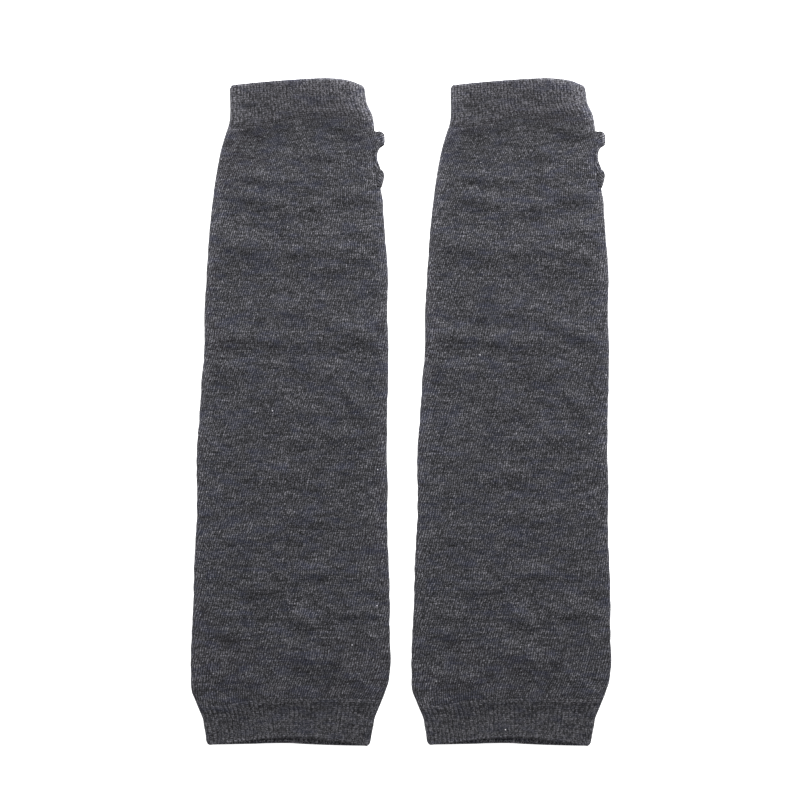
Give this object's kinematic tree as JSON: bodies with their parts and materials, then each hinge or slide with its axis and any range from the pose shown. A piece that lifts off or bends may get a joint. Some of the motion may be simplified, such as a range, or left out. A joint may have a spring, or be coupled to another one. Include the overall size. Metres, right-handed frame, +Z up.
{
  "type": "pair of fingerless arm warmers with thumb holes",
  "caption": "Elbow-length knitted arm warmers laid flat side by side, each with a ribbed edge at the fingers and the elbow and a banded thumb hole on one side.",
  "frame": {"origin": "centre of the pair's box, on the surface that they lie on", "axes": "+X across the arms towards the thumb holes, +Y from the elbow edge to the finger edge, +Z up from the surface"},
  "size_m": [0.1888, 0.3004, 0.0046],
  "materials": {
    "jersey_knit": "matte charcoal melange plain knit",
    "rib_knit": "matte charcoal melange one-by-one rib",
    "band_knit": "matte charcoal melange knitted band"
  },
  "bodies": {
    "root": {"left_arm_tube": "jersey_knit", "left_hand_rib": "rib_knit", "left_elbow_rib": "rib_knit", "left_thumb_band": "band_knit", "right_arm_tube": "jersey_knit", "right_hand_rib": "rib_knit", "right_elbow_rib": "rib_knit", "right_thumb_band": "band_knit"}
  },
  "joints": []
}
